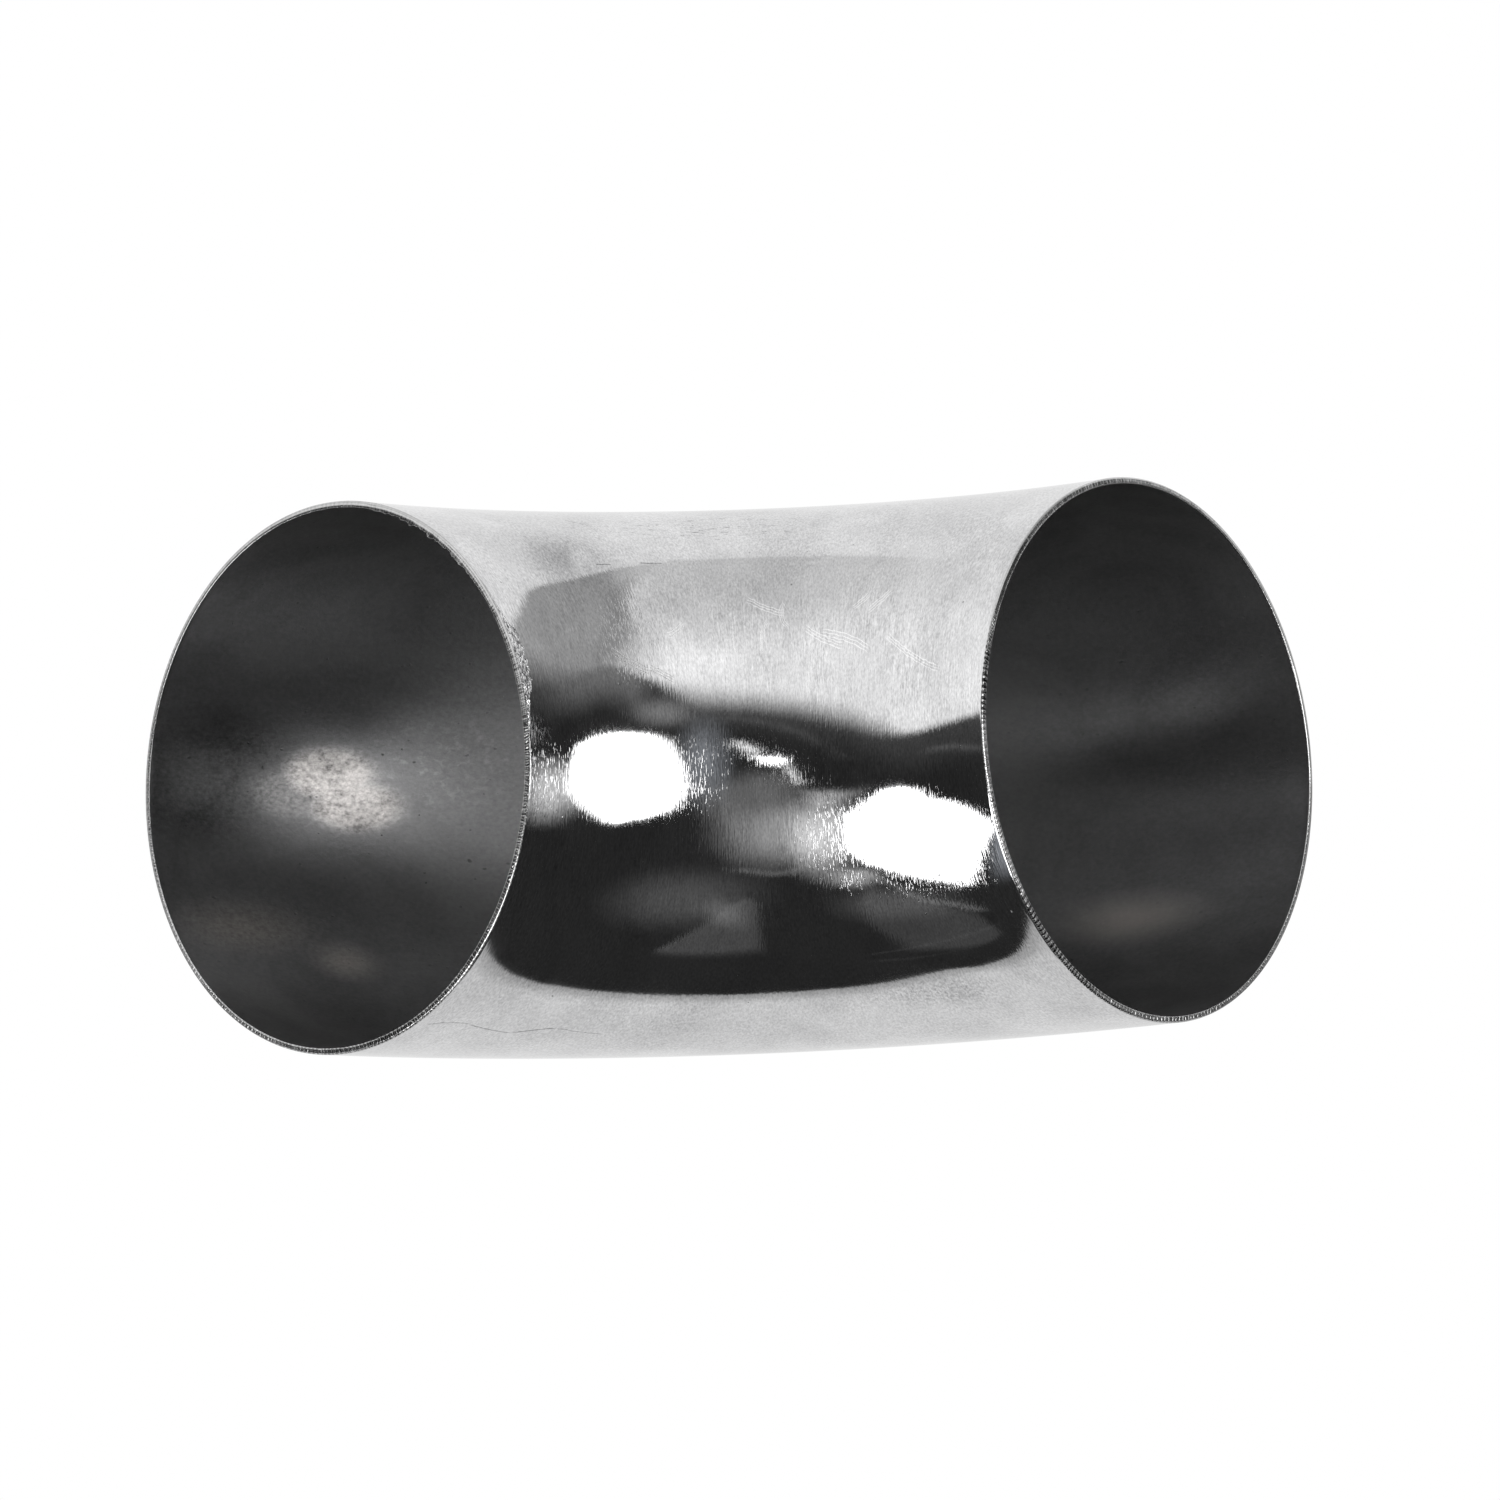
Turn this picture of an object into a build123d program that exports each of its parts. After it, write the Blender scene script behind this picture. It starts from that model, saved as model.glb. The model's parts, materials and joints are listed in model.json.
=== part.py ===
from build123d import *
import os

# Ninety degree elbow: one length of thin round tube, bent through a quarter turn on a short radius
# and sawn square at both mouths. The bend starts and ends right at the mouths, with no straight ends.
#
# Millimetres, +Z up, with the bend lying level. The origin is the centre of the inlet mouth, which
# faces -Y. The tube leaves it along +Y, turns towards +X and ends at the outlet mouth, facing +X.

# Driving dimensions
outside_diameter = 102.0
wall = 1.2
bend_radius = 108.0  # from the axis of the bend to the centre line of the tube
bend_angle = 90.0
bend_thinning = 0.1  # bending leaves the wall this much thinner outside the bend and thicker inside

# Worked out from the driving dimensions
bore_diameter = outside_diameter - 2 * wall
bend_axis = Axis((bend_radius, 0, 0), (0, 0, -1))

os.makedirs("parts", exist_ok=True)

# Elbow: the ring of the tube wall, standing in the plane of the inlet mouth, swept round the bend.
# The bore sits off centre, away from the axis of the bend, which thins the wall on that side.
with BuildPart() as elbow:
    with BuildSketch(Plane.XZ) as tube_section:
        Circle(outside_diameter / 2)
        with Locations((-bend_thinning, 0)):
            Circle(bore_diameter / 2, mode=Mode.SUBTRACT)
    revolve(axis=bend_axis, revolution_arc=bend_angle)

elbow.part.label = "elbow"
export_step(elbow.part, "parts/elbow.step")
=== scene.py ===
"""Ninety degree elbow: thin polished tube bent through a quarter turn, with both mouths sawn square."""

import json
import math

import bmesh
import bpy
from mathutils import Matrix, Vector, noise


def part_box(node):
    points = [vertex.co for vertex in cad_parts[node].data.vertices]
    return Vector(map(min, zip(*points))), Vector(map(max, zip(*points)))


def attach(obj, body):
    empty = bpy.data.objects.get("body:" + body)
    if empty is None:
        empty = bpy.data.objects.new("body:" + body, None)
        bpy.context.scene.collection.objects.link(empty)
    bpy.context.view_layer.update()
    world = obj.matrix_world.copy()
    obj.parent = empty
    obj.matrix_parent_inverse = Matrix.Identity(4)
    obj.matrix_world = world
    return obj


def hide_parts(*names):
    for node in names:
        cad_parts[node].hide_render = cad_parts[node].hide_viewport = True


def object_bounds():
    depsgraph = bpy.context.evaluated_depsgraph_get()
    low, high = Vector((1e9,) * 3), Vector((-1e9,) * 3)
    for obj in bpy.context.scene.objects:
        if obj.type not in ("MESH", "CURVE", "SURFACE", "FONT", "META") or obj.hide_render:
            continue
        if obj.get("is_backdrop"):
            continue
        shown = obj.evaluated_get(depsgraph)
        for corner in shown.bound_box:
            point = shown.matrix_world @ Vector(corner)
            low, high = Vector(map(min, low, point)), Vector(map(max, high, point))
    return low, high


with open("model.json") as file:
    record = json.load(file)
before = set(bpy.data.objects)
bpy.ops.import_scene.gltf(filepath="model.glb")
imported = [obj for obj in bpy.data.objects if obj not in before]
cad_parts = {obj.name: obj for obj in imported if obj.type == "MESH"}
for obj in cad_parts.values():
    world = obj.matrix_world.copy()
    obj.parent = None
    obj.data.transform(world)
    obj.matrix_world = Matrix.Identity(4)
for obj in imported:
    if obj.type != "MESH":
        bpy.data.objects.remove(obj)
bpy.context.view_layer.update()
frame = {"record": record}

# Sizes of the tube, in metres
body_low, body_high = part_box("elbow")
outlet = next(mount for mount in frame["record"]["mounts"] if mount["name"] == "outlet")
BEND_RADIUS = outlet["pos_m"][0]
TUBE_RADIUS = (body_high.z - body_low.z) / 2
WALL = 0.0012
WALL_SHIFT = 0.0001  # the bore sits this far off centre, away from the axis of the bend
MID_HEIGHT_GAIN = 0.0201  # the section is this share taller halfway round the bend
QUARTER_TURN = math.pi / 2
BEND_LENGTH = BEND_RADIUS * QUARTER_TURN
GIRTH = 2 * math.pi * TUBE_RADIUS


# Room directions, as the bend sees them: 0 is where the inside of the bend faces, positive to its right
ROOM_AHEAD = Vector((1, -1, 0)).normalized()
ROOM_RIGHT = Vector((1, 1, 0)).normalized()
# The middle of the room, and how far from it the panels stand, in metres
ROOM_CENTRE = Vector((0.07, 0.04, 0.0))
CARD_DISTANCE = 3.0


def room_direction(azimuth, elevation):
    """The way into the room, by degrees to the side and degrees up."""
    turn = math.radians(azimuth)
    lift = math.radians(elevation)
    level = ROOM_AHEAD * math.cos(turn) + ROOM_RIGHT * math.sin(turn)
    return level * math.cos(lift) + Vector((0, 0, math.sin(lift)))


# Small helpers for node trees

def empty_tree(owner):
    owner.use_nodes = True
    owner.node_tree.nodes.clear()
    return owner.node_tree


def add_node(tree, kind, settings=None, **inputs):
    made = tree.nodes.new(kind)
    for name, value in (settings or {}).items():
        setattr(made, name, value)
    for name, value in inputs.items():
        feed(tree, made, name.replace("_", " "), value)
    return made


def feed(tree, target, socket, value):
    """Links a value into a socket, or sets the socket where the value is plain."""
    place = target.inputs[socket]
    if isinstance(value, bpy.types.NodeSocket):
        tree.links.new(value, place)
    else:
        place.default_value = value


def math_node(tree, operation, first, second=0.0, third=0.0, clamp=False):
    made = tree.nodes.new("ShaderNodeMath")
    made.operation = operation
    made.use_clamp = clamp
    feed(tree, made, 0, first)
    feed(tree, made, 1, second)
    feed(tree, made, 2, third)
    return made.outputs[0]


def vector_node(tree, operation, first, second=(0.0, 0.0, 0.0)):
    made = tree.nodes.new("ShaderNodeVectorMath")
    made.operation = operation
    feed(tree, made, 0, first)
    feed(tree, made, 1, second)
    return made.outputs["Value"] if operation in ("DOT_PRODUCT", "LENGTH") else made.outputs["Vector"]


def total(tree, *values):
    result = values[0]
    for value in values[1:]:
        result = math_node(tree, "ADD", result, value)
    return result


def times(tree, *values):
    result = values[0]
    for value in values[1:]:
        result = math_node(tree, "MULTIPLY", result, value)
    return result


def ease(tree, value, low, high, out_low=0.0, out_high=1.0):
    """A smooth step from one level to another, as the value goes from low to high."""
    made = add_node(tree, "ShaderNodeMapRange", {"interpolation_type": "SMOOTHSTEP"}, Value=value,
                    From_Min=low, From_Max=high, To_Min=out_low, To_Max=out_high)
    return made.outputs["Result"]


def blend_value(tree, share, first, second):
    """The first value where the share is 0, and the second where it is 1."""
    made = tree.nodes.new("ShaderNodeMix")
    made.data_type = "FLOAT"
    feed(tree, made, 0, share)
    feed(tree, made, 2, first)
    feed(tree, made, 3, second)
    return made.outputs[0]


def blend_shader(tree, share, first, second):
    made = tree.nodes.new("ShaderNodeMixShader")
    feed(tree, made, 0, share)
    feed(tree, made, 1, first)
    feed(tree, made, 2, second)
    return made.outputs[0]


def grey_colour(tree, level):
    return add_node(tree, "ShaderNodeCombineColor", Red=level, Green=level, Blue=level).outputs[0]


# The tube

AROUND = 432
ALONG_OUTSIDE = 118
ALONG_BORE = 46
OUTER_LIP = 0.0004
INNER_LIP = 0.00016
OUTER_LIP_TURNS = (0, 24, 47, 69, 90)
INNER_LIP_TURNS = (0, 45, 90)
BESIDE_LIP = 0.0006
CUT_MIDDLE = 0.42  # where the ring in the middle of a cut lies, as a share of the wall

# Torn burr at the inlet: where it starts and ends round the mouth and how soon it rises and falls, in degrees
BURR_FROM = 103
BURR_TO = 147
BURR_RISE = 8
BURR_FALL = 14
BURR_REACH = 0.55  # as a share of the wall
BURR_EDGE = 0.2  # it moves only the part of the cut this near the bore, as a share of the wall
COARSE_TEARS = 520  # noise cells per metre round the mouth
FINE_TEARS = 1500


def section_point(along, clock, outside_share):
    """A point of the wall: metres along the centre line, radians round it, and 1 outside to 0 at the bore."""
    turn = along / BEND_RADIUS
    bulge = 1 + MID_HEIGHT_GAIN * math.cos(math.pi * (along / BEND_LENGTH - 0.5))
    away = Vector((-math.cos(turn), math.sin(turn), 0))
    centre = Vector((BEND_RADIUS, 0, 0)) + away * BEND_RADIUS
    bore_radius = TUBE_RADIUS - WALL
    outside = Vector((TUBE_RADIUS * math.cos(clock), TUBE_RADIUS * bulge * math.sin(clock)))
    bore = Vector((bore_radius * math.cos(clock) + WALL_SHIFT,
                   (TUBE_RADIUS * bulge - WALL) * math.sin(clock)))
    flat = bore.lerp(outside, outside_share)
    return centre + away * flat.x + Vector((0, 0, flat.y))


def evenly(start, stop, count):
    return [start + (stop - start) * step / count for step in range(count + 1)]


def lip_profile():
    """From the outside wall over the cut to the bore: how far in from the end, and the share of the wall."""
    outer = []
    for turn in OUTER_LIP_TURNS:
        lean = math.radians(turn)
        outer.append((OUTER_LIP * (1 - math.sin(lean)), 1 - OUTER_LIP / WALL * (1 - math.cos(lean))))
    inner = []
    for turn in INNER_LIP_TURNS:
        lean = math.radians(turn)
        inner.append((INNER_LIP * (1 - math.cos(lean)), INNER_LIP / WALL * (1 - math.sin(lean))))
    return outer + [(0.0, CUT_MIDDLE)] + inner


def ring_plan():
    """Every ring of the closed skin, in order: out along the outside, over one cut, back along the bore."""
    inset = OUTER_LIP + BESIDE_LIP
    cut = lip_profile()
    last = len(cut) - 1
    plan = []
    for along in evenly(inset + BESIDE_LIP, BEND_LENGTH - inset - BESIDE_LIP, ALONG_OUTSIDE):
        plan.append((along, 1.0, along, "coarse", "outside"))
    plan.append((BEND_LENGTH - inset, 1.0, BEND_LENGTH - inset, "fine", "outside"))
    for index, (step, share) in enumerate(cut):
        lay = BEND_LENGTH + (1 - share) * WALL + (-step if share > 0.5 else step)
        plan.append((BEND_LENGTH - step, share, lay, "fine", "bore" if index == last else "cut"))
    for along in evenly(BEND_LENGTH - inset, inset, ALONG_BORE):
        plan.append((along, 0.0, 2 * BEND_LENGTH + WALL - along, "coarse", "bore"))
    for index, (step, share) in enumerate(reversed(cut)):
        lay = 2 * BEND_LENGTH + WALL + share * WALL + (step if share > 0.5 else -step)
        plan.append((step, share, lay, "fine", "outside" if index == last else "burr"))
    plan.append((inset, 1.0, 2 * BEND_LENGTH + 2 * WALL + inset, "fine", "outside"))
    return plan


def burr_reach(clock):
    """How far the torn edge of the inlet's bore stands in, as a share of the wall."""
    degrees = math.degrees(clock)
    torn = noise.noise(Vector((clock * TUBE_RADIUS * COARSE_TEARS, 3.1, 0.0))) + 0.30
    fine = noise.noise(Vector((clock * TUBE_RADIUS * FINE_TEARS, 8.7, 0.0)))
    rise = min(1.0, max(0.0, (degrees - BURR_FROM) / BURR_RISE))
    fall = min(1.0, max(0.0, (BURR_TO - degrees) / BURR_FALL))
    return max(0.0, torn + 0.35 * fine) * BURR_REACH * rise * fall + 0.05 * fine


def build_tube():
    mesh = bmesh.new()
    lay = mesh.loops.layers.uv.new("lay")
    bake = mesh.loops.layers.uv.new("OFBake")
    plan = ring_plan()
    rings = []
    for along, share, place, density, part in plan:
        count = AROUND * 2 if density == "fine" else AROUND
        ring = []
        for step in range(count):
            clock = 2 * math.pi * step / count
            torn = burr_reach(clock) if part == "burr" and share < BURR_EDGE else 0.0
            ring.append(mesh.verts.new(section_point(along, clock, share - torn)))
        rings.append(ring)
    path_end = 2 * BEND_LENGTH + 2 * WALL + plan[0][2]
    places = [ring[2] for ring in plan] + [path_end]
    material_of = {"outside": 0, "bore": 1, "cut": 2, "burr": 2}

    def ring_step(ring, step, place):
        """The corners of one coarse step round a ring: two on a coarse ring, three on a fine one."""
        parts = len(ring) // AROUND
        corners = []
        for part in range(parts + 1):
            vert = ring[(step * parts + part) % len(ring)]
            corners.append((vert, step + part / parts, place))
        return corners

    def close_strip(first, second, start, stop, part):
        """Faces between two rings, their front sides out of the wall."""
        for step in range(AROUND):
            near = ring_step(first, step, start)
            far = ring_step(second, step, stop)
            if len(near) == len(far) == 3:
                faces = (near[:2] + far[1::-1], near[1:] + far[:0:-1])
            else:
                faces = (near + far[::-1],)
            for corners in faces:
                face = mesh.faces.new([vert for vert, step_place, path_place in corners])
                face.smooth = True
                face.material_index = material_of[part]
                for loop, (vert, step_place, path_place) in zip(face.loops, corners):
                    girth_share = step_place / AROUND
                    loop[lay].uv = (path_place, girth_share * GIRTH)
                    loop[bake].uv = (path_place / path_end, girth_share)

    for index in range(len(rings)):
        following = (index + 1) % len(rings)
        close_strip(rings[index], rings[following], places[index], places[index + 1], plan[index][4])
    mesh.normal_update()
    data = bpy.data.meshes.new("elbow_tube")
    mesh.to_mesh(data)
    mesh.free()
    tube = bpy.data.objects.new("elbow_tube", data)
    bpy.context.scene.collection.objects.link(tube)
    return tube


# Finishes

def lay_place(tree):
    """The surface unrolled: metres along the bend, then metres round the tube."""
    return add_node(tree, "ShaderNodeUVMap", {"uv_map": "lay"}).outputs["UV"]


def round_place(tree, place):
    """The same lay wrapped round a straight tube, so that patterns close up where the girth ends."""
    parts = add_node(tree, "ShaderNodeSeparateXYZ", Vector=place)
    angle = math_node(tree, "DIVIDE", parts.outputs["Y"], TUBE_RADIUS)
    side = times(tree, math_node(tree, "COSINE", angle), TUBE_RADIUS)
    top = times(tree, math_node(tree, "SINE", angle), TUBE_RADIUS)
    return add_node(tree, "ShaderNodeCombineXYZ", X=parts.outputs["X"], Y=side, Z=top).outputs[0]


def sunk(tree, depth):
    """The normal of a surface that lies this deep, in metres, below the plain wall."""
    bump = add_node(tree, "ShaderNodeBump", {"invert": True}, Height=depth, Distance=1.0, Strength=1.0)
    return bump.outputs["Normal"]


def new_finish(name, base, roughness, metallic=1.0):
    """A steel finish. Its nodes drive the colour and the roughness, over the plain values given here."""
    finish = bpy.data.materials.new(name)
    tree = empty_tree(finish)
    shader = add_node(tree, "ShaderNodeBsdfPrincipled", Base_Color=base, Roughness=roughness,
                      Metallic=metallic)
    add_node(tree, "ShaderNodeOutputMaterial", Surface=shader.outputs[0])
    return finish, tree, shader


def new_group(name, inputs, outputs):
    """A node group. An input of None is a vector, and any other is a number and its starting value."""
    group = bpy.data.node_groups.new(name, "ShaderNodeTree")
    for label, value in inputs.items():
        kind = "NodeSocketVector" if value is None else "NodeSocketFloat"
        socket = group.interface.new_socket(label, in_out="INPUT", socket_type=kind)
        if value is not None:
            socket.default_value = value
    for label in outputs:
        group.interface.new_socket(label, in_out="OUTPUT", socket_type="NodeSocketFloat")
    start = group.nodes.new("NodeGroupInput")
    end = group.nodes.new("NodeGroupOutput")
    return group, start, end


def polishing_streaks_group():
    """Short streaks left by the polishing belt, which ran round the tube."""
    group, start, end = new_group(
        "polishing_streaks",
        {"Place": None, "Width": 0.0004, "Length": 0.003, "Patchiness": 0.5},
        ("Streaks", "Patches"))
    parts = add_node(group, "ShaderNodeSeparateXYZ", Vector=start.outputs["Place"])
    across = math_node(group, "DIVIDE", parts.outputs["X"], start.outputs["Width"])
    side = math_node(group, "DIVIDE", parts.outputs["Y"], start.outputs["Length"])
    top = math_node(group, "DIVIDE", parts.outputs["Z"], start.outputs["Length"])
    squeezed = add_node(group, "ShaderNodeCombineXYZ", X=across, Y=side, Z=top).outputs[0]
    fine = add_node(group, "ShaderNodeTexNoise", Vector=squeezed, Scale=1.0, Detail=1.0, Roughness=0.5)
    broad = add_node(group, "ShaderNodeTexNoise", Vector=start.outputs["Place"], Scale=75.0, Detail=3.0)
    patches = ease(group, broad.outputs["Fac"], 0.36, 0.66)
    strength = blend_value(group, start.outputs["Patchiness"], 1.0, patches)
    centred = math_node(group, "SUBTRACT", fine.outputs["Fac"], 0.5)
    feed(group, end, "Streaks", times(group, centred, strength))
    feed(group, end, "Patches", patches)
    return group


def specks_group():
    """Small pits and dirt specks, scattered unevenly."""
    group, start, end = new_group(
        "scattered_specks",
        {"Place": None, "Spacing": 0.004, "Speck size": 0.1, "Share": 0.5},
        ("Specks",))
    scale = math_node(group, "DIVIDE", 1.0, start.outputs["Spacing"])
    warp = add_node(group, "ShaderNodeTexNoise", Vector=start.outputs["Place"], Scale=900.0, Detail=1.0)
    shaken = vector_node(group, "MULTIPLY_ADD", warp.outputs["Color"], (0.0006, 0.0006, 0.0006))
    group.links.new(start.outputs["Place"], shaken.node.inputs[2])
    cells = add_node(group, "ShaderNodeTexVoronoi", Vector=shaken, Scale=scale)
    chance = add_node(group, "ShaderNodeSeparateColor", Color=cells.outputs["Color"])
    kept = math_node(group, "LESS_THAN", chance.outputs[0], start.outputs["Share"])
    size = times(group, start.outputs["Speck size"], total(group, chance.outputs[1], 0.4))
    spot = ease(group, cells.outputs["Distance"], size, times(group, size, 0.4))
    feed(group, end, "Specks", times(group, spot, kept))
    return group


def cloud_group():
    """Slow, uneven change of tone, from 0 to 1 around 0.5."""
    group, start, end = new_group(
        "cloudy_tone",
        {"Place": None, "Scale": 60.0, "Detail": 5.0},
        ("Cloud",))
    bent = add_node(group, "ShaderNodeTexNoise", Vector=start.outputs["Place"], Scale=start.outputs["Scale"],
                    Detail=start.outputs["Detail"], Roughness=0.58, Distortion=0.6)
    feed(group, end, "Cloud", ease(group, bent.outputs["Fac"], 0.25, 0.75))
    return group


def stroke_group():
    """One bowed scratch on the unrolled surface: 1 along its line, 0 beside it."""
    group, start, end = new_group(
        "scratch_stroke",
        {"Lay": None, "Middle": None, "Turn": 0.0, "Half length": 0.004, "Bow": 0.0, "Width": 0.0003,
         "Bundle": 0.0},
        ("Stroke",))
    width = start.outputs["Width"]
    from_middle = vector_node(group, "SUBTRACT", start.outputs["Lay"], start.outputs["Middle"])
    parts = add_node(group, "ShaderNodeSeparateXYZ", Vector=from_middle)
    cosine = math_node(group, "COSINE", start.outputs["Turn"])
    sine = math_node(group, "SINE", start.outputs["Turn"])
    run = total(group, times(group, parts.outputs["X"], cosine), times(group, parts.outputs["Y"], sine))
    off_x = times(group, parts.outputs["X"], sine)
    off = math_node(group, "SUBTRACT", times(group, parts.outputs["Y"], cosine), off_x)
    share = math_node(group, "DIVIDE", run, start.outputs["Half length"])
    share_squared = times(group, share, share)
    crown = times(group, math_node(group, "SUBTRACT", 1.0, share_squared), start.outputs["Bow"])
    shake = add_node(group, "ShaderNodeTexNoise", Vector=start.outputs["Lay"], Scale=500.0, Detail=1.0)
    wobble = math_node(group, "MULTIPLY_ADD", shake.outputs["Fac"], 0.0006, -0.0003)
    beside = math_node(group, "ABSOLUTE", math_node(group, "SUBTRACT", total(group, off, wobble), crown))
    single = ease(group, beside, width, 0.0)
    ripple = math_node(group, "COSINE", math_node(group, "DIVIDE", beside, times(group, width, 0.14)))
    near_line = ease(group, beside, times(group, width, 1.5), width)
    several = times(group, ease(group, ripple, 0.1, 0.9), near_line)
    line = blend_value(group, start.outputs["Bundle"], single, several)
    ends = ease(group, share_squared, 1.0, 0.55)
    feed(group, end, "Stroke", times(group, line, ends))
    return group


def place_group(tree, group, **inputs):
    return add_node(tree, "ShaderNodeGroup", {"node_tree": group}, **inputs)


def on_lay(along_mm, clock):
    """A place on the unrolled surface, from millimetres along the bend and degrees round the tube."""
    return (along_mm / 1000, clock / 360 * GIRTH, 0.0)


def on_bore(along_mm, clock):
    """The same for a place on the bore, whose lay runs back from the outlet."""
    return (2 * BEND_LENGTH + WALL - along_mm / 1000, clock / 360 * GIRTH, 0.0)


def curve_through(tree, value, points, low, high):
    """A smooth curve through points, for values from low to high. Its heights run from 0 to 1."""
    made = tree.nodes.new("ShaderNodeFloatCurve")
    curve = made.mapping.curves[0]
    places = [((place - low) / (high - low), height) for place, height in points]
    curve.points[0].location = (0.0, places[0][1])
    curve.points[1].location = (1.0, places[-1][1])
    for place in places:
        curve.points.new(*place)
    made.mapping.update()
    share = math_node(tree, "DIVIDE", math_node(tree, "SUBTRACT", value, low), high - low, clamp=True)
    feed(tree, made, "Value", share)
    return made.outputs[0]


def strokes(tree, lay, marks, bundle=0.0):
    """The strongest of several scratches, each given by its two ends, its bow in mm and its width in mm.

    A bundle of 1 draws each as several fine lines side by side.
    """
    together = None
    for start, stop, bow, width in marks:
        first = Vector(on_lay(*start))
        second = Vector(on_lay(*stop))
        way = second - first
        mark = place_group(tree, groups["stroke"], Lay=lay, Middle=tuple((first + second) / 2),
                           Turn=math.atan2(way.y, way.x), Half_length=way.length / 2,
                           Bow=bow / 1000, Width=width / 1000, Bundle=bundle).outputs[0]
        together = mark if together is None else math_node(tree, "MAXIMUM", together, mark)
    return together


def oval_patch(tree, lay, middle, half_along, half_round, softness=0.6):
    """1 inside an oval on the wall, fading to 0 at its edge. Half sizes are in mm."""
    from_middle = vector_node(tree, "SUBTRACT", lay, middle)
    wrapped = add_node(tree, "ShaderNodeVectorMath", {"operation": "WRAP"})
    feed(tree, wrapped, 0, from_middle)
    feed(tree, wrapped, 1, (1.0, GIRTH / 2, 1.0))
    feed(tree, wrapped, 2, (-1.0, -GIRTH / 2, -1.0))
    scaled = vector_node(tree, "MULTIPLY", wrapped.outputs[0], (1000 / half_along, 1000 / half_round, 0.0))
    return ease(tree, vector_node(tree, "LENGTH", scaled), 1.0, 1.0 - softness)


HAIRLINE = (
    ((3, 247), (16, 246), -0.8, 0.22),
    ((15, 245.9), (29, 249.4), 0.3, 0.25),
    ((28, 249.4), (39, 246.8), -0.3, 0.3),
    ((38.5, 246.8), (51, 249.5), 0.2, 0.2),
)
PALE_SCRATCHES = (
    ((104, 154), (117, 159), 0.6, 0.7),
    ((109, 155.5), (126, 160.4), -0.8, 0.8),
    ((86, 146), (98, 150.5), 0.5, 0.7),
    ((82.6, 150), (82, 160), 0.9, 0.5),
    ((92.5, 152), (90.5, 160), 1.2, 0.5),
    ((98, 147), (99, 154), 1.8, 0.7),
    ((39.5, 158.5), (52, 163.5), 0.3, 0.7),
    ((52, 162.5), (60, 165.5), -0.3, 0.6),
    ((131, 157), (152, 166), 0.9, 0.6),
    ((124, 151), (131, 146), 0.2, 0.7),
    ((119, 150), (124, 146.5), 0.3, 0.6),
    ((60, 155), (66, 152), 0.4, 0.6),
)
DARK_NICKS = (
    ((51, 178.4), (54.5, 178.9), -0.4, 0.3),
    ((57, 134.6), (64, 134.7), 0.1, 0.25),
    ((44, 135.2), (49, 135.2), 0.0, 0.2),
    ((45, 114), (50, 118), 0.1, 0.2),
    ((4.1, 154.4), (4.8, 156.3), 0.0, 0.5),
)


# How wide the ground strip at the inlet is: place as a share of the girth, and share of full width
GROUND_STRIP = ((0.36, 0.0), (0.395, 0.04), (0.415, 0.2), (0.432, 0.65), (0.452, 0.82), (0.472, 0.42),
                (0.488, 0.14), (0.500, 0.0), (0.54, 0.0))

# Where the belt's scratches glitter: place, half length and half width in mm, and share of full strength
GLITTER = (((46, 156), 17, 14, 0.75), ((4, 188), 17, 17, 0.6), ((69, 186), 17, 15, 0.38),
           ((92, 184), 17, 8, 0.3), ((108, 198), 17, 16, 0.62), ((115, 208), 7, 4, 1.2),
           ((140, 211), 32, 7, 0.7))


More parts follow.
